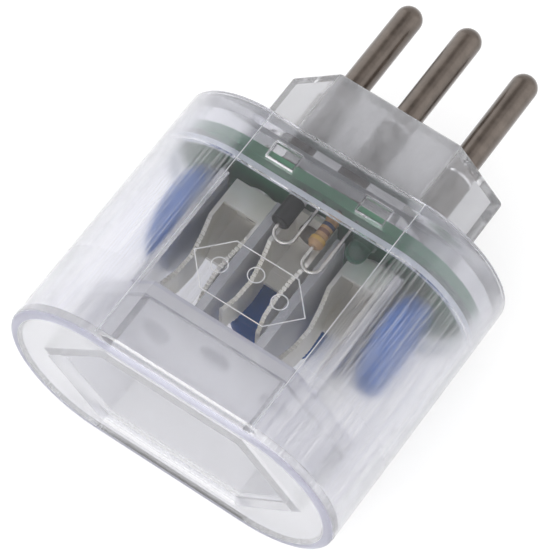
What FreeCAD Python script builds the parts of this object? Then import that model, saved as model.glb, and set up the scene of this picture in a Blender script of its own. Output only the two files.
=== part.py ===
"""Clear in-line surge protector plug: round pins at one end, a matching socket recess at the other.

Frame: the plug lies on its flat back. +Z is up, the normal of the clear front face. +Y runs along the pins,
and +X is the long axis of the stadium-shaped body. The origin is under the middle of the bounding box, on
the back face. Every body is modelled about the middle of the shoulder, where the shell's rim meets the
collar, and is then placed.
"""

import FreeCAD, Part

import os
import Sketcher

DOC = FreeCAD.newDocument("surge_plug")
SHEET = DOC.addObject("Spreadsheet::Sheet", "sizes")

# Driving dimensions, in millimetres.
SIZES = {
    # body shell
    "body_width": 51.5,
    "body_depth": 27.4,
    "body_height": 41.0,
    "lower_wall": 1.8,
    "upper_wall": 1.1,
    "end_wall": 2.0,
    "ledge_drop": 8.2,
    "end_round": 0.8,
    "panel_line_width": 0.14,
    "panel_line_depth": 0.12,
    # engraved pictogram
    "mark_width": 17.6,
    "mark_flat": 9.8,
    "mark_depth": 8.5,
    "mark_drop": 23.0,
    "mark_pitch": 4.7,
    "mark_offset": 1.5,
    "mark_ring": 1.2,
    "mark_line": 0.16,
    "mark_cut": 0.12,
    # socket recess
    "recess_width": 36.6,
    "recess_flat": 20.6,
    "recess_depth": 17.0,
    "recess_reach": 10.5,
    "recess_floor": 2.0,
    "tub_wall": 1.6,
    "lip_chamfer": 0.9,
    "entry_radius": 2.3,
    # pins
    "pin_pitch": 19.0,
    "pin_radius": 2.0,
    "pin_reach": 19.0,
    "pin_gap": 0.06,
    "shank_radius": 2.25,
    "earth_offset": 3.0,
    "tail_radius": 1.4,
    "head_radius": 2.1,
    "head_height": 0.8,
    # partition ribs
    "rib_width": 1.3,
    "inner_rib": 4.75,
    "outer_rib": 13.8,
    "rib_front": 7.7,
    "rib_back": 5.6,
    "rib_top": 8.5,
    # snap windows and tabs
    "window_middle": 7.1,
    "window_width": 4.3,
    "window_drop": 3.2,
    "window_height": 2.8,
    "window_play": 0.25,
    "tab_stand": 0.95,
    # plug cap
    "collar_width": 34.7,
    "collar_flat": 19.4,
    "collar_depth": 16.9,
    "collar_height": 13.0,
    "collar_wall": 1.6,
    "collar_top": 1.0,
    "collar_round": 0.5,
    "collar_corner": 0.8,
    "plate_thickness": 2.0,
    "skirt_wall": 1.2,
    "cap_play": 0.1,
    # circuit board
    "board_inset": 2.5,
    "board_drop": 4.3,
    "board_thickness": 1.6,
    "track_thickness": 0.07,
    "track_clearance": 0.75,
    "pole_track_half": 3.2,
    "lead_radius": 0.26,
    "lead_hole": 0.45,
    "lead_rise": 0.7,
    # solder
    "solder_foot": 0.75,
    "solder_top": 0.5,
    "solder_rise": 0.6,
    "solder_play": 0.02,
    "collar_solder_low": 2.0,
    "collar_solder_high": 2.7,
    # contacts
    "strip_thickness": 0.6,
    "strip_width": 9.0,
    "strip_tip_width": 5.2,
    "contact_half": 3.3,
    "contact_drop": 7.1,
    "leaf_bend": 13.8,
    "leaf_grip": 19.5,
    "leaf_tip": 25.0,
    "grip_half": 2.35,
    "tip_half": 3.2,
    "contact_back": 15.5,
    "contact_tab": 11.0,
    "bend_run": 2.8,
    "bend_inset": 0.35,
    "flare_run": 3.0,
    "flare_inset": 0.2,
    "taper_step": 0.4,
    "tooth_pitch": 0.6,
    "tooth_depth": 0.32,
    # varistors
    "disc_radius": 7.5,
    "disc_thickness": 3.6,
    "disc_round": 1.2,
    "disc_middle": 13.9,
    "side_disc": 16.8,
    "rear_disc": 8.5,
    "disc_lead_radius": 0.4,
    "disc_lead_half": 3.75,
    "disc_lead_sunk": 0.6,
    # small parts
    "parts_front": 9.5,
    "diode_place": -2.9,
    "diode_radius": 1.35,
    "diode_length": 5.2,
    "diode_top": 6.6,
    "diode_loop_half": 1.5,
    "diode_loop_drop": 0.8,
    "resistor_place": 2.7,
    "resistor_radius": 1.15,
    "resistor_waist": 0.95,
    "resistor_end": 1.6,
    "resistor_length": 6.0,
    "resistor_top": 6.2,
    "resistor_loop_half": 1.35,
    "resistor_loop_drop": 2.1,
    "led_place": 7.6,
    "led_front": 8.6,
    "led_radius": 1.5,
    "led_flange": 1.9,
    "led_length": 4.2,
    "led_gap": 0.6,
    "led_flange_height": 0.9,
    "led_lead_half": 0.9,
    "fuse_place": 11.0,
    "fuse_back": 8.2,
    "fuse_radius": 1.6,
    "fuse_length": 7.6,
    "fuse_top": 7.6,
    "fuse_loop_half": 1.3,
    "fuse_loop_drop": 1.0,
}

for row, (alias, number) in enumerate(SIZES.items(), start=1):
    SHEET.set(f"A{row}", alias)
    SHEET.set(f"B{row}", str(number))
    SHEET.setAlias(f"B{row}", alias)
DOC.recompute()


class Dim:
    """A length from the sheet: its number now, and the expression that keeps a feature bound to it."""

    def __init__(self, number, text):
        self.number = number
        self.text = text

    def _join(self, sign, other, number):
        return Dim(number, f"({self.text} {sign} {as_dim(other).text})")

    def __add__(self, other):
        return self._join("+", other, self.number + as_dim(other).number)

    def __sub__(self, other):
        return self._join("-", other, self.number - as_dim(other).number)

    def __mul__(self, other):
        return self._join("*", other, self.number * as_dim(other).number)

    def __truediv__(self, other):
        return self._join("/", other, self.number / as_dim(other).number)

    def __neg__(self):
        return Dim(-self.number, f"(-1 * {self.text})")


def as_dim(value):
    return value if isinstance(value, Dim) else Dim(float(value), f"({value})")


def root(value):
    return Dim(value.number**0.5, f"sqrt({value.text})")


def size(alias):
    """The named cell of the sheet."""
    return Dim(float(SHEET.get(alias)), f"sizes.{alias}")


def bind(thing, prop, value):
    value = as_dim(value)
    thing.setExpression(prop, value.text)


# Places shared by several pieces. Heights run along Y from the shoulder, and depths along Z from the
# middle plane.
TOTAL_LENGTH = size("body_height") + size("collar_height") + size("pin_reach")
SHOULDER_Y = size("body_height") - TOTAL_LENGTH / 2
MIDDLE_Z = size("body_depth") / 2
CHAMBER_FLOOR = size("recess_reach") - size("body_height") + size("recess_floor")
BOARD_UNDER = -(size("board_drop") + size("board_thickness"))
BOARD_TOP = -size("board_drop")
LEAD_TOP = BOARD_TOP + size("lead_rise")
CONTACT_TOP = -size("contact_drop")


def place(thing, x=0.0, y=0.0, z=0.0):
    """Binds a piece's placement: x, y from the shoulder and z from the middle plane."""
    bind(thing, "Placement.Base.x", x)
    bind(thing, "Placement.Base.y", SHOULDER_Y + y)
    bind(thing, "Placement.Base.z", MIDDLE_Z + z)


def new_body(label):
    body = DOC.addObject("PartDesign::Body", label)
    body.Label = label
    place(body)
    return body


def new_sketch(body, plane, name, lift=0.0):
    """A sketch on an origin plane of the body. lift moves it along the plane's normal, -Y for XZ_Plane."""
    sketch = body.newObject("Sketcher::SketchObject", name)
    support = next(feature for feature in body.Origin.OriginFeatures if feature.Role == plane)
    sketch.AttachmentSupport = [(support, "")]
    sketch.MapMode = "FlatFace"
    bind(sketch, "AttachmentOffset.Base.z", lift)
    return sketch


def at_height(body, name, y):
    """A sketch square to the pins at height y; its own axes are X and Z, and its normal is -Y."""
    return new_sketch(body, "XZ_Plane", name, -as_dim(y))


def constrain(sketch, kind, *where, value):
    """Adds a driving dimension bound to the sheet."""
    value = as_dim(value)
    index = sketch.addConstraint(Sketcher.Constraint(kind, *where, value.number))
    sketch.setExpression(f"Constraints[{index}]", value.text)


def draw_polygon(sketch, corners):
    """A closed outline whose corners are each held by their two coordinates."""
    points = [(as_dim(u), as_dim(v)) for u, v in corners]
    flat = [FreeCAD.Vector(u.number, v.number, 0) for u, v in points]
    following = flat[1:] + flat[:1]
    edges = [sketch.addGeometry(Part.LineSegment(a, b)) for a, b in zip(flat, following)]
    for edge, after in zip(edges, edges[1:] + edges[:1]):
        sketch.addConstraint(Sketcher.Constraint("Coincident", edge, 2, after, 1))
    for edge, (u, v) in zip(edges, points):
        constrain(sketch, "DistanceX", edge, 1, value=u)
        constrain(sketch, "DistanceY", edge, 1, value=v)


def draw_rectangle(sketch, u_low, u_high, v_low, v_high):
    draw_polygon(sketch, [(u_low, v_low), (u_high, v_low), (u_high, v_high), (u_low, v_high)])


def draw_stadium(sketch, inset):
    """The body's outline moved inwards: two flats along X joined by half circles."""
    radius = size("body_depth") / 2 - inset
    half = (size("body_width") - size("body_depth")) / 2
    r, a = radius.number, half.number
    vec = FreeCAD.Vector
    top = sketch.addGeometry(Part.LineSegment(vec(-a, r, 0), vec(a, r, 0)))
    right = sketch.addGeometry(Part.Arc(vec(a, r, 0), vec(a + r, 0, 0), vec(a, -r, 0)))
    low = sketch.addGeometry(Part.LineSegment(vec(a, -r, 0), vec(-a, -r, 0)))
    left = sketch.addGeometry(Part.Arc(vec(-a, -r, 0), vec(-a - r, 0, 0), vec(-a, r, 0)))
    for line in (top, low):
        sketch.addConstraint(Sketcher.Constraint("Horizontal", line))
    # The sketcher stores arcs anticlockwise, so the right arc starts at its lower end.
    sketch.addConstraint(Sketcher.Constraint("Tangent", top, 2, right, 2))
    sketch.addConstraint(Sketcher.Constraint("Tangent", right, 1, low, 1))
    sketch.addConstraint(Sketcher.Constraint("Tangent", low, 2, left, 2))
    sketch.addConstraint(Sketcher.Constraint("Tangent", left, 1, top, 1))
    constrain(sketch, "DistanceX", right, 3, value=half)
    constrain(sketch, "DistanceY", right, 3, value=0.0)
    constrain(sketch, "DistanceX", left, 3, value=-half)
    constrain(sketch, "Radius", right, value=radius)


def draw_hexagon(sketch, width, flat, depth, middle=0.0):
    """The plug face's long hexagon, with points at +X and -X and flats along X, about height middle."""
    w, f, d, m = width / 2, flat / 2, depth / 2, as_dim(middle)
    draw_polygon(sketch, [(-w, m), (-f, m + d), (f, m + d), (w, m), (f, m - d), (-f, m - d)])


def grown_hexagon(prefix, grow):
    """Width, flat and depth of a named hexagon with every side moved out by grow."""
    width, flat, depth = size(f"{prefix}_width"), size(f"{prefix}_flat"), size(f"{prefix}_depth")
    run = (width.number - flat.number) / 2
    rise = depth.number / 2
    slant = (run**2 + rise**2) ** 0.5
    point = slant / rise
    corner = (slant - run) / rise
    grow = as_dim(grow)
    return width + grow * 2 * point, flat + grow * 2 * corner, depth + grow * 2


def draw_circles(sketch, places, radius):
    for x, z in places:
        x, z = as_dim(x), as_dim(z)
        centre = FreeCAD.Vector(x.number, z.number, 0)
        normal = FreeCAD.Vector(0, 0, 1)
        circle = sketch.addGeometry(Part.Circle(centre, normal, as_dim(radius).number))
        constrain(sketch, "DistanceX", circle, 3, value=x)
        constrain(sketch, "DistanceY", circle, 3, value=z)
        constrain(sketch, "Radius", circle, value=radius)


def pin_places():
    """The three pins as (x, z): live, neutral, and the earth pin set towards the front."""
    half = size("pin_pitch") / 2
    return {
        "live": (-half, as_dim(0.0)),
        "neutral": (half, as_dim(0.0)),
        "earth": (as_dim(0.0), size("earth_offset")),
    }


def add_solid(body, kind, sketch, length, reverse=False, both_ways=False):
    """A Pad or Pocket of a sketch. The volume is compared, so one that misses the solid is caught."""
    before = body.Shape.Volume if body.Tip else 0.0
    feature = body.newObject(f"PartDesign::{kind}", f"{sketch.Name}_{kind.lower()}")
    feature.Profile = sketch
    feature.Reversed = reverse
    if both_ways:
        feature.SideType = "Symmetric"
    bind(feature, "Length", length)
    DOC.recompute()
    change = body.Shape.Volume - before
    if (kind == "Pad" and change <= 0) or (kind == "Pocket" and change >= 0):
        raise RuntimeError(f"{feature.Name} changed the volume by {change:.3f}")
    return feature


def turn(label, profile):
    """A body of revolution about Y from (radius, height) corners."""
    body = new_body(label)
    sketch = new_sketch(body, "XY_Plane", f"{label}_profile")
    draw_polygon(sketch, profile)
    feature = body.newObject("PartDesign::Revolution", f"{label}_turned")
    feature.Profile = sketch
    feature.ReferenceAxis = (sketch, ["V_Axis"])
    feature.Angle = 360.0
    DOC.recompute()
    return body


def dress(body, kind, value, chosen):
    """A Fillet or Chamfer of the tip's edges that chosen(edge) picks."""
    tip = body.Tip
    names = [f"Edge{i}" for i, edge in enumerate(tip.Shape.Edges, start=1) if chosen(edge)]
    feature = body.newObject(f"PartDesign::{kind}", f"{tip.Name}_{kind.lower()}")
    feature.Base = (tip, names)
    bind(feature, "Radius" if kind == "Fillet" else "Size", value)
    DOC.recompute()
    return feature


def lies_at(edge, height):
    """True for an edge whose whole length is at one height along Y."""
    box = edge.BoundBox
    target = as_dim(height).number
    return abs(box.YMin - target) < 1e-4 and abs(box.YMax - target) < 1e-4


def ring_at(edge, height, radius):
    target = as_dim(radius).number
    return lies_at(edge, height) and abs(edge.BoundBox.XMax - target) < 1e-3


def on_recess_lip(edge):
    """True for the edges round the mouth of the socket recess, which all lie within the hexagon."""
    limit = edge.BoundBox
    across = (size("recess_width") / 2).number + 0.01
    deep = (size("recess_depth") / 2).number + 0.01
    inside = -across < limit.XMin and limit.XMax < across and -deep < limit.ZMin and limit.ZMax < deep
    return inside and lies_at(edge, -size("body_height"))


def build_shell():
    """The clear case: a stadium cup open at the shoulder, with the socket recess in its closed end."""
    body = new_body("body_shell")
    height = size("body_height")

    outline = at_height(body, "shell_outline", 0.0)
    draw_stadium(outline, 0.0)
    add_solid(body, "Pad", outline, height)
    dress(body, "Fillet", size("end_round"), lambda edge: lies_at(edge, -height))

    chamber = at_height(body, "shell_chamber", 0.0)
    draw_stadium(chamber, size("lower_wall"))
    add_solid(body, "Pocket", chamber, height - size("end_wall"), reverse=True)

    seat = at_height(body, "shell_cap_seat", 0.0)
    draw_stadium(seat, size("upper_wall"))
    add_solid(body, "Pocket", seat, size("ledge_drop"), reverse=True)

    tub = at_height(body, "shell_tub", CHAMBER_FLOOR)
    draw_hexagon(tub, *grown_hexagon("recess", size("tub_wall")))
    add_solid(body, "Pad", tub, size("recess_reach") + size("recess_floor") - size("end_wall") / 2)

    ribs = at_height(body, "shell_ribs", -size("rib_top"))
    half = size("rib_width") / 2
    for middle in (-size("outer_rib"), -size("inner_rib"), size("inner_rib"), size("outer_rib")):
        draw_rectangle(ribs, middle - half, middle + half, -size("rib_back"), size("rib_front"))
    add_solid(body, "Pad", ribs, -CHAMBER_FLOOR - size("rib_top") + size("recess_floor") / 4)

    recess = at_height(body, "shell_recess", -height)
    draw_hexagon(recess, size("recess_width"), size("recess_flat"), size("recess_depth"))
    add_solid(body, "Pocket", recess, size("recess_reach"))
    dress(body, "Chamfer", size("lip_chamfer"), on_recess_lip)

    entries = at_height(body, "shell_entries", CHAMBER_FLOOR)
    draw_circles(entries, pin_places().values(), size("entry_radius"))
    add_solid(body, "Pocket", entries, size("recess_floor") * 1.5, reverse=True)

    windows = new_sketch(body, "XY_Plane", "shell_windows")
    half = size("window_width") / 2
    top = -size("window_drop")
    for middle in (-size("window_middle"), size("window_middle")):
        draw_rectangle(windows, middle - half, middle + half, top - size("window_height"), top)
    add_solid(body, "Pocket", windows, size("body_depth") * 2, both_ways=True)

    # A plain socket pictogram, engraved as thin outlines in the front face: a hexagon round three rings.
    mark = new_sketch(body, "XY_Plane", "shell_mark", size("body_depth") / 2 - size("mark_cut"))
    middle = -size("mark_drop")
    draw_hexagon(mark, size("mark_width"), size("mark_flat"), size("mark_depth"), middle)
    draw_hexagon(mark, *grown_hexagon("mark", -size("mark_line")), middle)
    pitch = size("mark_pitch")
    rings = [(-pitch, middle), (0.0, middle + size("mark_offset")), (pitch, middle)]
    draw_circles(mark, rings, size("mark_ring"))
    draw_circles(mark, rings, size("mark_ring") - size("mark_line"))
    add_solid(body, "Pocket", mark, 1.0, reverse=True)

    lines = at_height(body, "shell_panel_lines", 0.0)
    flat_half = (size("body_width") - size("body_depth")) / 2
    depth = size("body_depth") / 2
    half = size("panel_line_width") / 2
    for u in (-flat_half, flat_half):
        draw_rectangle(lines, u - half, u + half, depth - size("panel_line_depth"), depth + 1)
        draw_rectangle(lines, u - half, u + half, -depth - 1, size("panel_line_depth") - depth)
    add_solid(body, "Pocket", lines, height, reverse=True)


def on_collar_corner(edge):
    """True for the six edges of the collar that run straight along Y from the plate to its top."""
    box = edge.BoundBox
    upright_edge = box.XLength < 1e-4 and box.ZLength < 1e-4
    return upright_edge and box.YMin > -1e-4 and box.YMax > 1.0


def build_cap():
    """The clear plug end: a plate and skirt that snap into the shell, and the hollow collar of the pins."""
    body = new_body("plug_cap")
    inset = size("upper_wall") + size("cap_play")
    skirt = size("ledge_drop") - size("cap_play") / 2

    plate = at_height(body, "cap_plate", 0.0)
    draw_stadium(plate, inset)
    add_solid(body, "Pad", plate, skirt)

    inside = at_height(body, "cap_inside", -skirt)
    draw_stadium(inside, inset + size("skirt_wall"))
    add_solid(body, "Pocket", inside, skirt - size("plate_thickness"))

    collar = at_height(body, "cap_collar", 0.0)
    draw_hexagon(collar, size("collar_width"), size("collar_flat"), size("collar_depth"))
    add_solid(body, "Pad", collar, size("collar_height"), reverse=True)
    dress(body, "Fillet", size("collar_corner"), on_collar_corner)
    dress(body, "Fillet", size("collar_round"), lambda edge: lies_at(edge, size("collar_height")))

    hollow = at_height(body, "cap_hollow", -size("plate_thickness"))
    draw_hexagon(hollow, *grown_hexagon("collar", -size("collar_wall")))
    add_solid(body, "Pocket", hollow, size("plate_thickness") + size("collar_height") - size("collar_top"))

    holes = at_height(body, "cap_pin_holes", size("collar_height"))
    draw_circles(holes, pin_places().values(), size("shank_radius") + size("pin_gap"))
    add_solid(body, "Pocket", holes, size("collar_top") * 2, reverse=True)

    tabs = new_sketch(body, "XY_Plane", "cap_tabs", size("body_depth") / 2 - inset - size("skirt_wall") / 2)
    half = size("window_width") / 2 - size("window_play")
    top = -(size("window_drop") + size("window_play"))
    low = top - size("window_height") + size("window_play") * 2
    for middle in (-size("window_middle"), size("window_middle")):
        draw_rectangle(tabs, middle - half, middle + half, low, top)
    pad = add_solid(body, "Pad", tabs, size("skirt_wall") / 2 + size("tab_stand"))
    other_side = body.newObject("PartDesign::Mirrored", "cap_tabs_mirrored")
    other_side.Originals = [pad]
    mid_plane = next(feature for feature in body.Origin.OriginFeatures if feature.Role == "XY_Plane")
    other_side.MirrorPlane = (mid_plane, [""])
    body.Tip = other_side
    DOC.recompute()


def build_pin(name, x, z):
    """A turned pin: rounded tip, thicker shank in the collar, and a thin tail riveted in its contact."""
    label = f"{name}_pin"
    tip = size("collar_height") + size("pin_reach")
    step = BOARD_TOP
    rivet = CONTACT_TOP - size("strip_thickness")
    head_low = rivet - size("head_height")
    body = turn(
        label,
        [
            (0.0, tip),
            (size("pin_radius"), tip),
            (size("pin_radius"), size("collar_height")),
            (size("shank_radius"), size("collar_height")),
            (size("shank_radius"), step),
            (size("tail_radius"), step),
            (size("tail_radius"), rivet),
            (size("head_radius"), rivet),
            (size("head_radius"), head_low),
            (0.0, head_low),
        ],
    )
    tip_round = size("pin_radius") * 0.97
    head_round = size("head_height") * 0.7
    dress(body, "Fillet", tip_round, lambda edge: ring_at(edge, tip, size("pin_radius")))
    dress(body, "Fillet", head_round, lambda edge: ring_at(edge, head_low, size("head_radius")))
    place(body, x=x, z=z)


def lead_places():
    """Where each lead passes through the board, as (x, z), and which piece it belongs to."""
    front = size("parts_front")
    disc = size("disc_lead_half")
    diode, resistor, led, fuse = (size(f"{name}_place") for name in ("diode", "resistor", "led", "fuse"))
    led_half = size("led_lead_half")
    return {
        "diode": [(diode, front), (diode + size("diode_loop_half") * 2, front)],
        "resistor": [(resistor, front), (resistor + size("resistor_loop_half") * 2, front)],
        "led": [(led - led_half, size("led_front")), (led + led_half, size("led_front"))],
        "fuse": [(fuse, -size("fuse_back")), (fuse + size("fuse_loop_half") * 2, -size("fuse_back"))],
        "varistor_left": [(-size("side_disc"), -disc), (-size("side_disc"), disc)],
        "varistor_right": [(size("side_disc"), -disc), (size("side_disc"), disc)],
        "varistor_rear": [(-disc, -size("rear_disc")), (disc, -size("rear_disc"))],
    }


def build_board():
    """The circuit board across the top of the chamber, drilled for the pin tails and every lead."""
    body = new_body("circuit_board")
    outline = at_height(body, "board_outline", BOARD_TOP)
    draw_stadium(outline, size("board_inset"))
    add_solid(body, "Pad", outline, size("board_thickness"))

    tails = at_height(body, "board_tail_holes", BOARD_TOP)
    draw_circles(tails, pin_places().values(), size("tail_radius") + size("pin_gap"))
    add_solid(body, "Pocket", tails, size("board_thickness") * 2, reverse=True)

    leads = at_height(body, "board_lead_holes", BOARD_TOP)
    for places in lead_places().values():
        draw_circles(leads, places, size("lead_hole"))
    add_solid(body, "Pocket", leads, size("board_thickness") * 2, reverse=True)


def box(name, x, y, z):
    """A Part::Box from (low, high) pairs along each axis, about the shoulder."""
    solid = DOC.addObject("Part::Box", name)
    for prop, (low, high) in zip(("Length", "Width", "Height"), (x, y, z)):
        bind(solid, prop, as_dim(high) - low)
    bind(solid, "Placement.Base.x", x[0])
    bind(solid, "Placement.Base.y", y[0])
    bind(solid, "Placement.Base.z", z[0])
    return solid


def upright(thing):
    """Turns a primitive's own +Z axis to +Y."""
    thing.Placement.Rotation = FreeCAD.Rotation(FreeCAD.Vector(1, 0, 0), -90)


def post(name, x, z, low, high, radius, top_radius=None):
    """A cylinder or cone standing along Y from low to high."""
    kind = "Part::Cylinder" if top_radius is None else "Part::Cone"
    solid = DOC.addObject(kind, name)
    upright(solid)
    if top_radius is None:
        bind(solid, "Radius", radius)
    else:
        bind(solid, "Radius1", radius)
        bind(solid, "Radius2", top_radius)
    bind(solid, "Height", as_dim(high) - low)
    bind(solid, "Placement.Base.x", x)
    bind(solid, "Placement.Base.y", low)
    bind(solid, "Placement.Base.z", z)
    return solid


def cut_away(name, base, tool):
    cut = DOC.addObject("Part::Cut", name)
    cut.Base = base
    cut.Tool = tool
    return cut


def ring_cone(name, x, z, heights, radii, hole):
    """A cone between two heights, bored right through along Y."""
    low, high = heights
    solid = post(f"{name}_cone", x, z, low, high, *radii)
    return cut_away(name, solid, post(f"{name}_hole", x, z, low - 1, high + 1, hole))


def group(label, solids):
    """One node of several separate solids."""
    compound = DOC.addObject("Part::Compound", label)
    compound.Label = label
    compound.Links = solids
    place(compound)
    return compound


def build_tracks():
    """Broad copper tracks on the board's upper side, one run per net, clear of the holes."""
    high = BOARD_TOP + size("track_thickness")
    half = size("pin_pitch") / 2
    ring = size("shank_radius")
    near = size("lead_hole") + size("track_clearance")
    closer = near - size("lead_radius")
    side = size("side_disc")
    broad = (-size("pole_track_half"), size("pole_track_half"))
    front = size("parts_front")
    back = -size("fuse_back")
    diode_end = size("diode_place") + size("diode_loop_half") * 2
    runs = {
        "live_track": ((-side + near, -half - ring), broad),
        "neutral_track": ((half + ring, side - near), broad),
        "live_front_track": ((-half - ring, size("diode_place") - near), (front - ring, front + 0.4)),
        "link_track": ((diode_end + closer, size("resistor_place") - closer), (front - 1, front + 1)),
        "earth_track": ((-size("tail_radius"), size("tail_radius")), (-size("rear_disc"), -0.2)),
        "fuse_track": ((size("disc_lead_half") + near, size("fuse_place") - near), (back - 1, back + 1)),
    }
    group("copper_tracks", [box(name, x, (BOARD_TOP, high), z) for name, (x, z) in runs.items()])


def build_solder():
    """Solder cones where the leads come through the board, and collars around the pin tails under it."""
    tail = size("tail_radius") + size("pin_gap")
    cone_top = BOARD_TOP + size("solder_rise")
    solids = []
    for name, places in lead_places().items():
        thick = name.startswith("varistor")
        wire = size("disc_lead_radius" if thick else "lead_radius") + size("solder_play")
        for number, (x, z) in enumerate(places, start=1):
            solids.append(ring_cone(f"{name}_solder_{number}", x, z, (BOARD_TOP, cone_top),
                                    (size("solder_foot"), size("solder_top")), wire))
    for name, (x, z) in pin_places().items():
        solids.append(ring_cone(f"{name}_solder", x, z, (CONTACT_TOP, BOARD_UNDER),
                                (size("collar_solder_low"), size("collar_solder_high")), tail))
    group("solder_joints", solids)


def open_path(name, points):
    """A sketch of joined straight runs in the XY plane, each corner held by its coordinates."""
    sketch = DOC.addObject("Sketcher::SketchObject", name)
    corners = [(as_dim(u), as_dim(v)) for u, v in points]
    flat = [FreeCAD.Vector(u.number, v.number, 0) for u, v in corners]
    edges = [sketch.addGeometry(Part.LineSegment(a, b)) for a, b in zip(flat, flat[1:])]
    for first, second in zip(edges, edges[1:]):
        sketch.addConstraint(Sketcher.Constraint("Coincident", first, 2, second, 1))
    for edge, (u, v) in zip(edges, corners):
        constrain(sketch, "DistanceX", edge, 1, value=u)
        constrain(sketch, "DistanceY", edge, 1, value=v)
    constrain(sketch, "DistanceX", edges[-1], 2, value=corners[-1][0])
    constrain(sketch, "DistanceY", edges[-1], 2, value=corners[-1][1])
    return sketch


def extrude(name, base, direction, length):
    """A solid drawn out of a face or closed outline, the same distance to both sides."""
    solid = DOC.addObject("Part::Extrusion", name)
    solid.Base = base
    solid.DirMode = "Custom"
    solid.Dir = FreeCAD.Vector(*direction)
    solid.Symmetric = True
    solid.Solid = True
    bind(solid, "LengthFwd", length)
    return solid


def toothed(start, end):
    """A row of gripping teeth from start up to end, which is left out: each tooth dips towards the middle."""
    count = round((start[0] - end[0]).number / size("tooth_pitch").number)
    along, across = (end[0] - start[0]) / count, (end[1] - start[1]) / count
    corners = []
    for step in range(count):
        corners.append((start[0] + along * step, start[1] + across * step))
        dip = start[1] + across * (step + 0.5) - size("tooth_depth")
        corners.append((start[0] + along * (step + 0.5), dip))
    return corners


def build_contact(name, x, z, front_tab):
    """A socket contact bent from one strip: a riveted top, a back wall, and two leaves that pinch a pin."""
    label = f"{name}_contact"
    half = size("contact_half")
    thickness = size("strip_thickness")
    bend, grip, tip = size("leaf_bend"), size("leaf_grip"), size("leaf_tip")
    right = [
        (half, CONTACT_TOP),
        (half, -bend),
        (size("grip_half") + size("bend_inset"), -(bend + size("bend_run"))),
        (size("grip_half"), -grip),
        (size("grip_half") + size("flare_inset"), -(grip + size("flare_run"))),
        (size("tip_half"), -tip),
    ]
    left = [(-u, v) for u, v in reversed(right)]
    path = open_path(f"{label}_path", left + right)
    band = DOC.addObject("Part::Offset2D", f"{label}_band")
    band.Source = path
    band.Mode = "Skin"
    band.Join = "Arc"
    band.Fill = True
    bind(band, "Value", thickness)
    strip = extrude(f"{label}_strip", band, (0, 0, 1), size("strip_width"))

    wide, slim = size("strip_width") / 2, size("strip_tip_width") / 2
    waist = slim + size("taper_step")
    top, low = CONTACT_TOP + 1, -(tip + 1)
    outline = DOC.addObject("Sketcher::SketchObject", f"{label}_outline")
    front = [*toothed((-bend, wide), (-grip, waist)), *toothed((-grip, waist), (low, slim)), (low, slim)]
    rear = [(u, -v) for u, v in reversed(front)]
    draw_polygon(outline, [(top, -wide), (top, wide), *front, *rear])
    # The outline is drawn as (Y, Z) and stands in the YZ plane.
    outline.Placement.Rotation = FreeCAD.Rotation(FreeCAD.Vector(1, 1, 1), 120)
    blank = extrude(f"{label}_blank", outline, (1, 0, 0), half * 4)
    leaves = DOC.addObject("Part::Common", f"{label}_leaves")
    leaves.Base = strip
    leaves.Tool = blank

    across = (thickness / 2 - half, half - thickness / 2)
    back = (-size("contact_back"), CONTACT_TOP)
    pieces = [leaves, box(f"{label}_back", across, back, (-wide, thickness - wide))]
    if front_tab:
        tab = (-size("contact_tab"), CONTACT_TOP)
        pieces.append(box(f"{label}_tab", across, tab, (wide - thickness, wide)))
    joined = DOC.addObject("Part::MultiFuse", f"{label}_joined")
    joined.Shapes = pieces
    clear = size("tail_radius") + size("pin_gap")
    hole = post(f"{label}_hole", 0.0, 0.0, CONTACT_TOP - 1, CONTACT_TOP + 1, clear)
    contact = cut_away(label, joined, hole)
    contact.Label = label
    place(contact, x=x, z=z)


def on_rim(edge, rim):
    """True for the two full circles of a disc whose axis is X."""
    return abs(edge.BoundBox.YMax - rim.number) < 1e-3 and edge.BoundBox.XLength < 1e-3


def build_varistor(label, x, z, across):
    """A dipped disc with a rounded rim; its axis is X, or Z when it stands across the body."""
    body = new_body(label)
    half = size("disc_thickness") / 2
    rim = size("disc_radius")
    sketch = new_sketch(body, "XY_Plane", f"{label}_profile")
    draw_rectangle(sketch, -half, half, 0.0, rim)
    feature = body.newObject("PartDesign::Revolution", f"{label}_turned")
    feature.Profile = sketch
    feature.ReferenceAxis = (sketch, ["H_Axis"])
    feature.Angle = 360.0
    DOC.recompute()
    dress(body, "Fillet", size("disc_round"), lambda edge: on_rim(edge, rim))
    lead_half = size("disc_lead_half")
    wire_end = root(rim * rim - lead_half * lead_half) - size("disc_lead_sunk")
    sockets = at_height(body, f"{label}_wire_holes", wire_end)
    wire_hole = size("disc_lead_radius") + size("solder_play")
    draw_circles(sockets, [(0.0, -lead_half), (0.0, lead_half)], wire_hole)
    add_solid(body, "Pocket", sockets, rim)
    if across:
        body.Placement.Rotation = FreeCAD.Rotation(FreeCAD.Vector(0, 1, 0), 90)
    place(body, x=x, y=-size("disc_middle"), z=z)

    low = wire_end - size("disc_middle")
    wires = [
        post(f"{label}_wire_{number}", u, v, low, LEAD_TOP, size("disc_lead_radius"))
        for number, (u, v) in enumerate(lead_places()[label], start=1)
    ]
    group(f"{label}_leads", wires)


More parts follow.
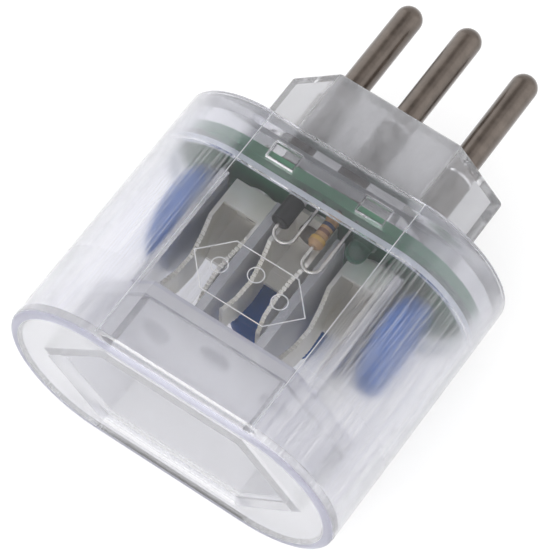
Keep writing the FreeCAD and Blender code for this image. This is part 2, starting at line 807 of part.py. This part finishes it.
def looped_lead(name, start, loop_half, drop):
    """A wire from an upright part's lower end: down, round a half circle, and back up into the board."""
    path = DOC.addObject("Sketcher::SketchObject", f"{name}_path")
    turn_y = start - drop
    across = as_dim(loop_half) * 2
    vec = FreeCAD.Vector
    bend_start = vec(0, turn_y.number, 0)
    bend_low = vec(loop_half.number, turn_y.number - loop_half.number, 0)
    bend_end = vec(across.number, turn_y.number, 0)
    down = path.addGeometry(Part.LineSegment(vec(0, start.number, 0), bend_start))
    bend = path.addGeometry(Part.Arc(bend_start, bend_low, bend_end))
    rise = path.addGeometry(Part.LineSegment(bend_end, vec(across.number, LEAD_TOP.number, 0)))
    path.addConstraint(Sketcher.Constraint("Vertical", down))
    path.addConstraint(Sketcher.Constraint("Vertical", rise))
    path.addConstraint(Sketcher.Constraint("Tangent", down, 2, bend, 1))
    path.addConstraint(Sketcher.Constraint("Tangent", bend, 2, rise, 1))
    constrain(path, "DistanceX", down, 1, value=0.0)
    constrain(path, "DistanceY", down, 1, value=start)
    constrain(path, "DistanceY", bend, 3, value=turn_y)
    constrain(path, "Radius", bend, value=loop_half)
    constrain(path, "DistanceY", rise, 2, value=LEAD_TOP)
    section = DOC.addObject("Part::Circle", f"{name}_section")
    bind(section, "Radius", size("lead_radius"))
    upright(section)
    bind(section, "Placement.Base.y", start)
    DOC.recompute()
    wire = DOC.addObject("Part::Sweep", name)
    wire.Sections = [section]
    wire.Spine = (path, ["Edge1", "Edge2", "Edge3"])
    wire.Solid = True
    wire.Frenet = False
    return wire


def build_axial(name, label, profile, top, length, x, z, loop_half, loop_drop):
    """An axial part standing on end under the board, with one straight lead up and one looped lead."""
    body = turn(label, profile)
    place(body, x=x, z=z)
    low = -(top + length)
    loop = looped_lead(f"{name}_loop", low, loop_half, loop_drop)
    straight = post(f"{name}_straight", 0.0, 0.0, -top, LEAD_TOP, size("lead_radius"))
    leads = group(f"{name}_leads", [loop, straight])
    place(leads, x=x, z=z)


def barrel(top, length, radius, edge):
    """The (radius, height) corners of a cylinder hanging from -top, with both edges bevelled."""
    low = -top - length
    return [(0.0, -top), (radius - edge, -top), (radius, -top - edge),
            (radius, low + edge), (radius - edge, low), (0.0, low)]


def build_small_parts():
    front = size("parts_front")

    top, length, radius = size("diode_top"), size("diode_length"), size("diode_radius")
    build_axial("diode", "diode_body", barrel(top, length, radius, radius * 0.12), top, length,
                size("diode_place"), front, size("diode_loop_half"), size("diode_loop_drop"))

    # The resistor is fuller over its two end caps than in the middle.
    top, length = size("resistor_top"), size("resistor_length")
    radius, waist, end = size("resistor_radius"), size("resistor_waist"), size("resistor_end")
    low = -top - length
    nose, slope, full = radius * 0.6, end * 0.3, end * 0.8
    resistor = [
        (0.0, -top), (nose, -top), (radius, -top - slope), (radius, -top - full), (waist, -top - end),
        (waist, low + end), (radius, low + full), (radius, low + slope), (nose, low), (0.0, low),
    ]
    build_axial("resistor", "resistor_body", resistor, top, length, size("resistor_place"), front,
                size("resistor_loop_half"), size("resistor_loop_drop"))

    top, length, radius = size("fuse_top"), size("fuse_length"), size("fuse_radius")
    build_axial("thermal_fuse", "thermal_fuse_body", barrel(top, length, radius, radius * 0.5), top, length,
                size("fuse_place"), -size("fuse_back"), size("fuse_loop_half"), size("fuse_loop_drop"))

    # The lamp hangs lens down, with its flange next to the board.
    top = BOARD_UNDER - size("led_gap")
    low = top - size("led_length")
    step = top - size("led_flange_height")
    radius, flange = size("led_radius"), size("led_flange")
    profile = [(0.0, top), (flange, top), (flange, step), (radius, step), (radius, low), (0.0, low)]
    led = turn("indicator_led", profile)
    dress(led, "Fillet", radius * 0.95, lambda edge: ring_at(edge, low, radius))
    place(led, x=size("led_place"), z=size("led_front"))
    wires = [
        post(f"led_wire_{number}", u, v, top, LEAD_TOP, size("lead_radius"))
        for number, (u, v) in enumerate(lead_places()["led"], start=1)
    ]
    group("led_leads", wires)


def check_document():
    """Stops on any feature that failed to build."""
    for thing in DOC.Objects:
        if "Invalid" in thing.State or "Error" in thing.State:
            raise RuntimeError(f"{thing.Name} is {thing.State}")


def export(labels):
    os.makedirs("parts", exist_ok=True)
    for label in labels:
        shape = DOC.getObjectsByLabel(label)[0].Shape
        if shape.isNull() or not shape.isValid() or not shape.Solids:
            raise RuntimeError(f"{label} has no valid solid")
        shape.exportStep(os.path.join("parts", f"{label}.step"))
        print(f"{label}: {len(shape.Solids)} solid(s), {shape.Volume:.1f} mm3")


build_shell()
build_cap()
for pin_name, (pin_x, pin_z) in pin_places().items():
    build_pin(pin_name, pin_x, pin_z)
    build_contact(pin_name, pin_x, pin_z, front_tab=pin_name != "earth")
build_board()
build_tracks()
build_solder()
build_varistor("varistor_left", -size("side_disc"), as_dim(0.0), across=False)
build_varistor("varistor_right", size("side_disc"), as_dim(0.0), across=False)
build_varistor("varistor_rear", as_dim(0.0), -size("rear_disc"), across=True)
build_small_parts()

NODES = [
    "body_shell", "plug_cap",
    "live_pin", "neutral_pin", "earth_pin",
    "live_contact", "neutral_contact", "earth_contact",
    "circuit_board", "copper_tracks", "solder_joints",
    "varistor_left", "varistor_left_leads",
    "varistor_right", "varistor_right_leads",
    "varistor_rear", "varistor_rear_leads",
    "diode_body", "diode_leads",
    "resistor_body", "resistor_leads",
    "thermal_fuse_body", "thermal_fuse_leads",
    "indicator_led", "led_leads",
]

DOC.recompute()
check_document()
export(NODES)
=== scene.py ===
"""Looks for the clear in-line surge protector plug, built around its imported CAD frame. Metres throughout."""

import bpy
from mathutils import Matrix, Vector


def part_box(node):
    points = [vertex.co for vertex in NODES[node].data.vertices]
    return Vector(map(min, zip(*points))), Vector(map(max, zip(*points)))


MM = 0.001

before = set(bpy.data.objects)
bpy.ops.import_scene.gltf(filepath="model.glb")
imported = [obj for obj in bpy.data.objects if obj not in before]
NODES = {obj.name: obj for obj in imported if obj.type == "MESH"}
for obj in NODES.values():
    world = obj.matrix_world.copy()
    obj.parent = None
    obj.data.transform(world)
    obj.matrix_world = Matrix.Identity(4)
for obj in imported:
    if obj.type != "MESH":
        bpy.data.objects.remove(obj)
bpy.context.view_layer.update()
SCENE = bpy.context.scene

# Places taken from the frame. The pins run along Y, and the two flat faces of the case look along Z.
SHELL_LOW, SHELL_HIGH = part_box("body_shell")
CAP_LOW, CAP_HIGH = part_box("plug_cap")
MIDDLE_Z = (SHELL_LOW.z + SHELL_HIGH.z) / 2
END_RADIUS = (SHELL_HIGH.z - SHELL_LOW.z) / 2
FLAT_HALF = (SHELL_HIGH.x - SHELL_LOW.x) / 2 - END_RADIUS
SHOULDER_Y = SHELL_HIGH.y

# Sizes of the case that its boxes don't show. The recess floor has the recess below it, the chamber above.
WALL = 1.8 * MM
RECESS_REACH = 10.5 * MM
RECESS_FLOOR = 2.0 * MM
RECESS_FLOOR_Y = SHELL_LOW.y + RECESS_REACH
CHAMBER_FLOOR_Y = RECESS_FLOOR_Y + RECESS_FLOOR
COLLAR_HALF = 16.9 * MM / 2

# The rim's face is duller over this much along its outer edge.
RIM_BAND = 1.4 * MM

# Noise stays close to a half, so what it drives is spread over its middle part.
NOISE_LOW, NOISE_HIGH = 0.3, 0.7
PATCH_LOW, PATCH_HIGH = 0.35, 0.65


# ---------------------------------------------------------------- materials


class Shader:
    """One node material: a Principled shader and short ways to feed it."""

    def __init__(self, name, **values):
        self.material = bpy.data.materials.new(name)
        self.material.use_nodes = True
        self.tree = self.material.node_tree
        self.tree.nodes.clear()
        self.bsdf = self.tree.nodes.new("ShaderNodeBsdfPrincipled")
        output = self.tree.nodes.new("ShaderNodeOutputMaterial")
        self.tree.links.new(self.bsdf.outputs["BSDF"], output.inputs["Surface"])
        self.place = self.tree.nodes.new("ShaderNodeTexCoord").outputs["Object"]
        for label, value in values.items():
            self.bsdf.inputs[label.replace("_", " ")].default_value = value

    def put(self, value, socket):
        """Links an output to a socket, or sets the socket to a number or a colour."""
        if isinstance(value, tuple):
            socket.default_value = (*value, 1.0)
        elif isinstance(value, (int, float)):
            socket.default_value = value
        else:
            self.tree.links.new(value, socket)

    def feed(self, source, label):
        """Links source to one of the shader's own sockets."""
        self.tree.links.new(source, self.bsdf.inputs[label])

    def noise(self, scale, detail=3.0, roughness=0.5, stretch=(1.0, 1.0, 1.0)):
        """Noise over object coordinates; a small stretch factor draws it out along that axis."""
        mapping = self.tree.nodes.new("ShaderNodeMapping")
        mapping.inputs["Scale"].default_value = stretch
        self.put(self.place, mapping.inputs["Vector"])
        made = self.tree.nodes.new("ShaderNodeTexNoise")
        made.inputs["Scale"].default_value = scale
        made.inputs["Detail"].default_value = detail
        made.inputs["Roughness"].default_value = roughness
        self.put(mapping.outputs["Vector"], made.inputs["Vector"])
        return made.outputs["Fac"]

    def axis(self, name):
        made = self.tree.nodes.new("ShaderNodeSeparateXYZ")
        self.put(self.place, made.inputs["Vector"])
        return made.outputs[name]

    def off_middle(self):
        """Distance from the case's middle plane."""
        return self.math("ABSOLUTE", self.math("SUBTRACT", self.axis("Z"), MIDDLE_Z))

    def math(self, operation, *values):
        made = self.tree.nodes.new("ShaderNodeMath")
        made.operation = operation
        for value, socket in zip(values, made.inputs):
            self.put(value, socket)
        return made.outputs["Value"]

    def all_of(self, first, *others):
        """1 only where every mask is 1."""
        for other in others:
            first = self.math("MULTIPLY", first, other)
        return first

    def spread(self, source, low, high, start=0.0, end=1.0):
        """low up to start, high from end on, and a straight line between."""
        made = self.tree.nodes.new("ShaderNodeMapRange")
        made.inputs["From Min"].default_value = start
        made.inputs["From Max"].default_value = end
        made.inputs["To Min"].default_value = low
        made.inputs["To Max"].default_value = high
        self.put(source, made.inputs["Value"])
        return made.outputs["Result"]

    def rise(self, source, start, end):
        """A mask that is 0 up to start and 1 from end on."""
        return self.spread(source, 0.0, 1.0, start, end)

    def fall(self, source, start, end):
        """A mask that is 1 up to start and 0 from end on."""
        return self.spread(source, 1.0, 0.0, start, end)

    def mix(self, mask, first, second):
        """A colour that is first where the mask is 0 and second where it is 1."""
        made = self.tree.nodes.new("ShaderNodeMix")
        made.data_type = "RGBA"
        first_socket, second_socket = (socket for socket in made.inputs if socket.type == "RGBA")
        result = next(socket for socket in made.outputs if socket.type == "RGBA")
        self.put(mask, made.inputs["Factor"])
        self.put(first, first_socket)
        self.put(second, second_socket)
        return result

    def blend(self, mask, first, second):
        """A number that is first where the mask is 0 and second where it is 1."""
        made = self.tree.nodes.new("ShaderNodeMix")
        self.put(mask, made.inputs["Factor"])
        self.put(first, made.inputs["A"])
        self.put(second, made.inputs["B"])
        return made.outputs["Result"]

    def ramp(self, source, stops, interpolation="LINEAR"):
        made = self.tree.nodes.new("ShaderNodeValToRGB")
        made.color_ramp.interpolation = interpolation
        fill_ramp(made.color_ramp.elements, stops)
        self.put(source, made.inputs["Fac"])
        return made.outputs["Color"]

    def bump(self, height, distance, strength):
        made = self.tree.nodes.new("ShaderNodeBump")
        made.inputs["Distance"].default_value = distance
        made.inputs["Strength"].default_value = strength
        self.put(height, made.inputs["Height"])
        self.feed(made.outputs["Normal"], "Normal")

    def give(self, *names):
        """Puts the material in every slot of these CAD nodes."""
        for name in names:
            for slot in NODES[name].material_slots:
                slot.material = self.material


def fill_ramp(elements, stops):
    """Sets a colour ramp's elements from (position, colour) stops."""
    while len(elements) < len(stops):
        elements.new(0.5)
    for element, (position, colour) in zip(elements, stops):
        element.position = position
        element.color = (*colour, 1.0)


def along_node(made, name):
    """0 to 1 from a node's lowest to its highest point along the pins."""
    low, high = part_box(name)
    return made.rise(made.axis("Y"), low.y, high.y)


def clear_plastic():
    """Clear polycarbonate: polished flats, ends brushed along the pins, and satin surfaces inside."""
    made = Shader("clear_plastic", IOR=1.55)
    across = made.math("ABSOLUTE", made.axis("X"))
    off_middle = made.off_middle()
    past_flat = made.math("MAXIMUM", made.math("SUBTRACT", across, FLAT_HALF), 0.0)
    squares = made.math("ADD", made.math("POWER", past_flat, 2.0), made.math("POWER", off_middle, 2.0))
    reach = made.math("SQRT", squares)
    along = made.axis("Y")

    # Where each surface is, as masks. reach is the distance from the stadium's core, so it is the same all
    # round a surface that follows the outline.
    inner_face = END_RADIUS - WALL
    ring_edge = END_RADIUS - RIM_BAND
    ends = made.rise(across, FLAT_HALF - 0.1 * MM, FLAT_HALF + 0.2 * MM)
    flats = made.math("SUBTRACT", 1.0, ends)
    skin = made.rise(reach, END_RADIUS - 0.5 * MM, END_RADIUS - 0.4 * MM)
    brushed = made.all_of(skin, ends)
    wall = made.rise(off_middle, inner_face - 0.5 * MM, inner_face - 0.3 * MM)
    polished = made.all_of(wall, flats)
    rim_face = made.fall(along, SHELL_LOW.y + 0.3 * MM, SHELL_LOW.y + 0.6 * MM)
    ring = made.all_of(rim_face, made.rise(reach, ring_edge - 0.1 * MM, ring_edge + 0.1 * MM))
    socket_end = made.fall(along, CHAMBER_FLOOR_Y, CHAMBER_FLOOR_Y + 0.2 * MM)
    chamber_end = made.math("SUBTRACT", 1.0, socket_end)
    inner_ends = made.all_of(ends, chamber_end)
    tub = made.all_of(socket_end, made.fall(reach, inner_face - 0.3 * MM, inner_face - 0.2 * MM))
    near_floor = made.rise(along, RECESS_FLOOR_Y - 0.2 * MM, RECESS_FLOOR_Y - 0.1 * MM)
    tub_floor = made.all_of(tub, near_floor)
    near_chamber = made.rise(along, CHAMBER_FLOOR_Y - 0.55 * MM, CHAMBER_FLOOR_Y - 0.5 * MM)
    tub_edge = made.all_of(tub, near_chamber)

    # Engraved floors sit just under the front face, and scatter more light than the polish round them.
    height = made.axis("Z")
    under_face = made.fall(height, SHELL_HIGH.z - 0.03 * MM, SHELL_HIGH.z - 0.02 * MM)
    not_deep = made.rise(height, SHELL_HIGH.z - 0.16 * MM, SHELL_HIGH.z - 0.15 * MM)
    clear_of_ends = made.fall(across, FLAT_HALF + 0.15 * MM, FLAT_HALF + 0.2 * MM)
    clear_of_rim = made.rise(along, SHELL_LOW.y + 1.0 * MM, SHELL_LOW.y + 1.1 * MM)
    cut = made.all_of(under_face, not_deep, clear_of_ends, clear_of_rim)

    # Haze streaks run along the pins over the ends, and fade beside the cap's skirt.
    fine = made.noise(scale=4200.0, detail=3.0, roughness=0.75, stretch=(1.0, 0.015, 1.0))
    broad = made.noise(scale=1100.0, detail=2.0, stretch=(1.0, 0.025, 1.0))
    streak = made.rise(made.math("ADD", fine, made.math("MULTIPLY", broad, 0.15)), 0.54, 0.70)
    beside_skirt = made.spread(along, 1.0, 0.35, CAP_LOW.y, CAP_LOW.y + 0.2 * MM)
    streak = made.all_of(streak, beside_skirt)
    made.bump(made.all_of(fine, brushed), 0.02 * MM, 0.4)

    haze = made.mix(streak, (0.87, 0.87, 0.93), (0.97, 0.97, 0.98))
    tint = made.mix(brushed, (0.965, 0.965, 0.985), haze)
    tint = made.mix(tub_edge, tint, (0.66, 0.66, 0.73))
    made.feed(made.mix(ring, tint, (0.46, 0.46, 0.57)), "Base Color")

    clear = made.blend(socket_end, 0.70, 0.85)
    clear = made.blend(tub_floor, clear, 0.45)
    clear = made.blend(tub_edge, clear, 0.3)
    clear = made.blend(inner_ends, clear, 0.99)
    clear = made.blend(polished, clear, 0.985)
    clear = made.blend(brushed, clear, made.spread(streak, 0.995, 0.83))
    clear = made.blend(ring, clear, 0.62)
    made.feed(made.math("MULTIPLY", clear, made.spread(cut, 1.0, 0.6)), "Transmission Weight")

    rough = made.blend(polished, 0.24, 0.02)
    rough = made.blend(brushed, rough, made.spread(streak, 0.12, 0.24))
    rough = made.blend(ring, rough, 0.3)
    made.feed(made.math("ADD", rough, made.math("MULTIPLY", cut, 0.4)), "Roughness")
    made.give("body_shell")


def clear_cap_plastic():
    """The cap's plastic: a milky edge to the skirt, and a collar clouded over its two broad faces."""
    made = Shader("clear_cap_plastic", IOR=1.55)
    along = made.axis("Y")
    collar = made.rise(along, SHOULDER_Y - 0.5 * MM, SHOULDER_Y)
    skirt_edge = made.fall(along, CAP_LOW.y + 0.8 * MM, CAP_LOW.y + 0.85 * MM)
    broad_face = made.rise(made.off_middle(), COLLAR_HALF - 0.3 * MM, COLLAR_HALF - 0.05 * MM)
    clouded = made.all_of(collar, broad_face)
    flow = made.noise(scale=380.0, detail=5.0, roughness=0.65, stretch=(1.0, 0.5, 1.0))

    tint = made.mix(flow, (0.90, 0.90, 0.93), (0.96, 0.96, 0.98))
    tint = made.mix(collar, tint, (0.80, 0.80, 0.82))
    tint = made.mix(clouded, tint, made.mix(flow, (0.46, 0.46, 0.48), (0.64, 0.64, 0.66)))
    made.feed(made.mix(skirt_edge, tint, (0.78, 0.83, 0.90)), "Base Color")

    side_clear = made.spread(flow, 0.84, 0.93, NOISE_LOW, NOISE_HIGH)
    broad_clear = made.spread(flow, 0.50, 0.83, NOISE_LOW, NOISE_HIGH)
    clear = made.blend(collar, 0.96, made.blend(broad_face, side_clear, broad_clear))
    made.feed(made.blend(skirt_edge, clear, 0.35), "Transmission Weight")

    broad_rough = made.spread(flow, 0.30, 0.38, NOISE_LOW, NOISE_HIGH)
    made.feed(made.blend(collar, 0.06, made.blend(broad_face, 0.10, broad_rough)), "Roughness")
    made.bump(flow, 0.05 * MM, 0.08)
    made.give("plug_cap")


def pin_metal():
    """Dull nickel plate on brass: turning marks, warmer patches, and a matt shank in the collar."""
    made = Shader("pin_metal", Metallic=0.85, Coat_Weight=0.7, Coat_Roughness=0.15)
    rings = made.noise(scale=2200.0, detail=2.0, roughness=0.6, stretch=(0.05, 1.0, 0.05))
    wear = made.noise(scale=420.0, detail=4.0, roughness=0.6)
    buried = made.fall(made.axis("Y"), CAP_HIGH.y - 0.5 * MM, CAP_HIGH.y)
    patch = made.rise(wear, 0.35, 0.7)
    plate = made.mix(patch, (0.088, 0.068, 0.054), (0.138, 0.109, 0.089))
    made.feed(made.mix(buried, plate, (0.11, 0.082, 0.062)), "Base Color")
    rough = made.spread(wear, 0.30, 0.42, NOISE_LOW, NOISE_HIGH)
    made.feed(made.blend(buried, rough, 0.7), "Roughness")
    made.bump(rings, 0.02 * MM, 0.3)
    made.give("live_pin", "neutral_pin", "earth_pin")


def contact_metal():
    """Tinned spring brass strip, dull with age, with a faint olive cast in patches."""
    made = Shader("contact_metal", Metallic=0.5)
    grain = made.noise(scale=2600.0, detail=2.0, roughness=0.6, stretch=(1.0, 0.5, 1.0))
    cast = made.rise(made.noise(scale=220.0, detail=2.0), PATCH_LOW, PATCH_HIGH)
    made.feed(made.mix(cast, (0.86, 0.85, 0.82), (0.77, 0.75, 0.68)), "Base Color")
    made.feed(made.spread(grain, 0.32, 0.42, NOISE_LOW, NOISE_HIGH), "Roughness")
    made.give("live_contact", "neutral_contact", "earth_contact")


def board_laminate():
    """Green solder mask over both faces, paler at its margins, and bare laminate round the edge."""
    made = Shader("board_laminate", Specular_IOR_Level=0.3)
    low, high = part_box("circuit_board")
    weave = made.noise(scale=1500.0, detail=1.0, stretch=(1.0, 0.3, 1.0))
    patch = made.noise(scale=240.0, detail=2.0)
    mask = made.mix(made.rise(patch, PATCH_LOW, PATCH_HIGH), (0.008, 0.085, 0.04), (0.012, 0.12, 0.055))
    half = (high.z - low.z) / 2
    margin = made.rise(made.off_middle(), half - 2.6 * MM, half - 1.8 * MM)
    mask = made.mix(margin, mask, (0.03, 0.26, 0.11))
    laminate = made.mix(patch, (0.05, 0.28, 0.13), (0.09, 0.38, 0.19))
    along = made.axis("Y")
    above = made.rise(along, low.y + 0.01 * MM, low.y + 0.03 * MM)
    below = made.fall(along, high.y - 0.03 * MM, high.y - 0.01 * MM)
    made.feed(made.mix(made.all_of(above, below), mask, laminate), "Base Color")
    made.feed(made.spread(weave, 0.4, 0.55), "Roughness")
    made.bump(weave, 0.01 * MM, 0.3)
    made.give("circuit_board")


def copper():
    """Copper under the green mask, so it reads as a paler green-gold."""
    made = Shader("copper_under_mask", Metallic=0.6, Roughness=0.35)
    patch = made.noise(scale=300.0, detail=2.0)
    made.feed(made.mix(patch, (0.10, 0.36, 0.14), (0.22, 0.42, 0.15)), "Base Color")
    made.bump(patch, 0.01 * MM, 0.3)
    made.give("copper_tracks")


def solder():
    """Bright tin solder, a little frosted and uneven."""
    made = Shader("solder", Metallic=1.0)
    grain = made.noise(scale=900.0, roughness=0.6)
    made.feed(made.mix(grain, (0.60, 0.60, 0.60), (0.80, 0.79, 0.76)), "Base Color")
    made.feed(made.spread(grain, 0.22, 0.45, NOISE_LOW, NOISE_HIGH), "Roughness")
    made.bump(grain, 0.05 * MM, 0.4)
    made.give("solder_joints")


def lead_wire():
    """Tinned copper wire with drawing marks along it."""
    made = Shader("lead_wire", Metallic=1.0, Roughness=0.25)
    grain = made.noise(scale=1200.0, detail=2.0, roughness=0.6, stretch=(1.0, 0.1, 1.0))
    made.feed(made.mix(grain, (0.42, 0.41, 0.39), (0.58, 0.56, 0.53)), "Base Color")
    made.bump(grain, 0.02 * MM, 0.3)
    made.give(
        "varistor_left_leads", "varistor_right_leads", "varistor_rear_leads",
        "diode_leads", "resistor_leads", "thermal_fuse_leads", "led_leads",
    )


def varistor_coating():
    """Blue dipped epoxy: slightly lumpy, with a soft gloss."""
    made = Shader("varistor_coating", Specular_IOR_Level=0.15)
    lumps = made.noise(scale=350.0)
    made.feed(made.mix(lumps, (0.0, 0.07, 0.30), (0.0, 0.115, 0.46)), "Base Color")
    made.feed(made.spread(lumps, 0.4, 0.55), "Roughness")
    made.bump(lumps, 0.08 * MM, 0.4)
    made.give("varistor_left", "varistor_right", "varistor_rear")


def diode_case():
    """Black moulded epoxy with a pale cathode band."""
    made = Shader("diode_case", Specular_IOR_Level=0.2)
    black, pale = (0.006, 0.006, 0.007), (0.42, 0.42, 0.43)
    bands = [(0.0, black), (0.76, pale), (0.9, black)]
    made.feed(made.ramp(along_node(made, "diode_body"), bands, "CONSTANT"), "Base Color")
    grain = made.noise(scale=2000.0, detail=2.0)
    made.feed(made.spread(grain, 0.3, 0.5), "Roughness")
    made.bump(grain, 0.01 * MM, 0.4)
    made.give("diode_body")


def resistor_coating():
    """Tan lacquer with four coloured bands."""
    made = Shader("resistor_coating", Coat_Weight=0.5, Coat_Roughness=0.1)
    tan, brown, blue = (0.36, 0.20, 0.075), (0.13, 0.035, 0.01), (0.006, 0.012, 0.07)
    green, gold = (0.02, 0.11, 0.04), (0.46, 0.27, 0.03)
    bands = [
        (0.0, tan), (0.12, gold), (0.22, tan), (0.36, brown), (0.46, tan),
        (0.54, blue), (0.64, tan), (0.76, green), (0.88, tan),
    ]
    made.feed(made.ramp(along_node(made, "resistor_body"), bands, "CONSTANT"), "Base Color")
    grain = made.noise(scale=900.0, detail=2.0)
    made.feed(made.spread(grain, 0.25, 0.45), "Roughness")
    made.bump(grain, 0.03 * MM, 0.3)
    made.give("resistor_body")


def fuse_case():
    """Cream ceramic with a fine grain."""
    made = Shader("fuse_case", Roughness=0.5)
    grain = made.noise(scale=900.0)
    made.feed(made.mix(grain, (0.72, 0.68, 0.56), (0.84, 0.80, 0.70)), "Base Color")
    made.bump(grain, 0.03 * MM, 0.4)
    made.give("thermal_fuse_body")


def led_lens():
    """A green lamp lens, deeper in colour towards its tip and slightly cloudy."""
    made = Shader("led_lens", IOR=1.5, Transmission_Weight=0.9)
    depths = [(0.0, (0.03, 0.20, 0.12)), (0.6, (0.07, 0.32, 0.20))]
    made.feed(made.ramp(along_node(made, "indicator_led"), depths), "Base Color")
    cloud = made.noise(scale=1500.0, detail=2.0)
    made.feed(made.spread(cloud, 0.15, 0.3), "Roughness")
    made.give("indicator_led")


# ---------------------------------------------------------------- studio


def camera():
    """A long lens above the front face, looking down along the pins with a slight roll."""
    data = bpy.data.cameras.new("camera")
    data.lens = 225.5
    data.clip_start = 0.01
    data.clip_end = 10.0
    obj = bpy.data.objects.new("camera", data)
    place = Vector((0.11094, -0.19416, 0.41904))
    right = Vector((0.823159, 0.567041, 0.029558)).normalized()
    back = Vector((0.245384, -0.402197, 0.882057)).normalized()
    up = back.cross(right)
    facing = Matrix((right, up, back)).transposed()
    obj.matrix_world = Matrix.Translation(place) @ facing.to_4x4()
    SCENE.collection.objects.link(obj)
    SCENE.camera = obj


def floor():
    """A white table under the plug, a hair below it and lit a little from within, so it stays pale."""
    side = 6.0
    gap = 0.02 * MM
    mesh = bpy.data.meshes.new("floor")
    corners = [(-side, -side, 0), (side, -side, 0), (side, side, 0), (-side, side, 0)]
    mesh.from_pydata(corners, [], [(0, 1, 2, 3)])
    obj = bpy.data.objects.new("floor", mesh)
    SCENE.collection.objects.link(obj)
    obj.location.z = -gap
    white = (1.0, 1.0, 1.0, 1.0)
    paint = Shader("floor_paint", Emission_Color=white, Emission_Strength=0.62, Roughness=0.9)
    cloud = paint.noise(scale=3.0, detail=2.0)
    paint.feed(paint.mix(cloud, (0.39, 0.39, 0.39), (0.41, 0.41, 0.41)), "Base Color")
    mesh.materials.append(paint.material)


def soft_box(name, place, side, power):
    """A square soft light aimed at the middle of the case."""
    data = bpy.data.lights.new(name, "AREA")
    data.shape = "SQUARE"
    data.size = side
    data.energy = power
    obj = bpy.data.objects.new(name, data)
    obj.location = place
    aim = Vector((0.0, 0.0, 0.015)) - Vector(place)
    obj.rotation_euler = aim.to_track_quat("-Z", "Y").to_euler()
    SCENE.collection.objects.link(obj)


def surroundings():
    """Even white surroundings with one dim patch, which is what the flat front face mirrors to the camera."""
    world = bpy.data.worlds.new("studio")
    world.use_nodes = True
    tree = world.node_tree
    shade = tree.nodes["Background"]
    direction = tree.nodes.new("ShaderNodeTexCoord").outputs["Generated"]
    nearness = tree.nodes.new("ShaderNodeVectorMath")
    nearness.operation = "DOT_PRODUCT"
    nearness.inputs[1].default_value = Vector((-0.245, 0.402, 0.882)).normalized()
    ramp = tree.nodes.new("ShaderNodeValToRGB")
    levels = [(0.0, 0.90), (0.95, 0.97), (0.985, 0.30)]
    blueness = 1.01
    stops = [(position, (level, level, level * blueness)) for position, level in levels]
    fill_ramp(ramp.color_ramp.elements, stops)
    tree.links.new(direction, nearness.inputs[0])
    tree.links.new(nearness.outputs["Value"], ramp.inputs["Fac"])
    tree.links.new(ramp.outputs["Color"], shade.inputs["Color"])
    SCENE.world = world


def lights():
    """A large soft box in front of the rim, and a weaker one at each side."""
    soft_box("key", (0.0, -0.95, 0.75), side=1.5, power=12.0)
    soft_box("left", (-0.9, 0.1, 0.5), side=1.0, power=3.0)
    soft_box("right", (0.9, 0.3, 0.5), side=1.0, power=2.0)


def render_look():
    """Enough bounces for light to cross the nested clear walls, and a plain tone curve."""
    SCENE.cycles.max_bounces = 40
    SCENE.cycles.transmission_bounces = 36
    SCENE.cycles.glossy_bounces = 12
    SCENE.cycles.diffuse_bounces = 6
    SCENE.view_settings.view_transform = "Standard"


clear_plastic()
clear_cap_plastic()
pin_metal()
contact_metal()
board_laminate()
copper()
solder()
lead_wire()
varistor_coating()
diode_case()
resistor_coating()
fuse_case()
led_lens()
camera()
floor()
surroundings()
lights()
render_look()
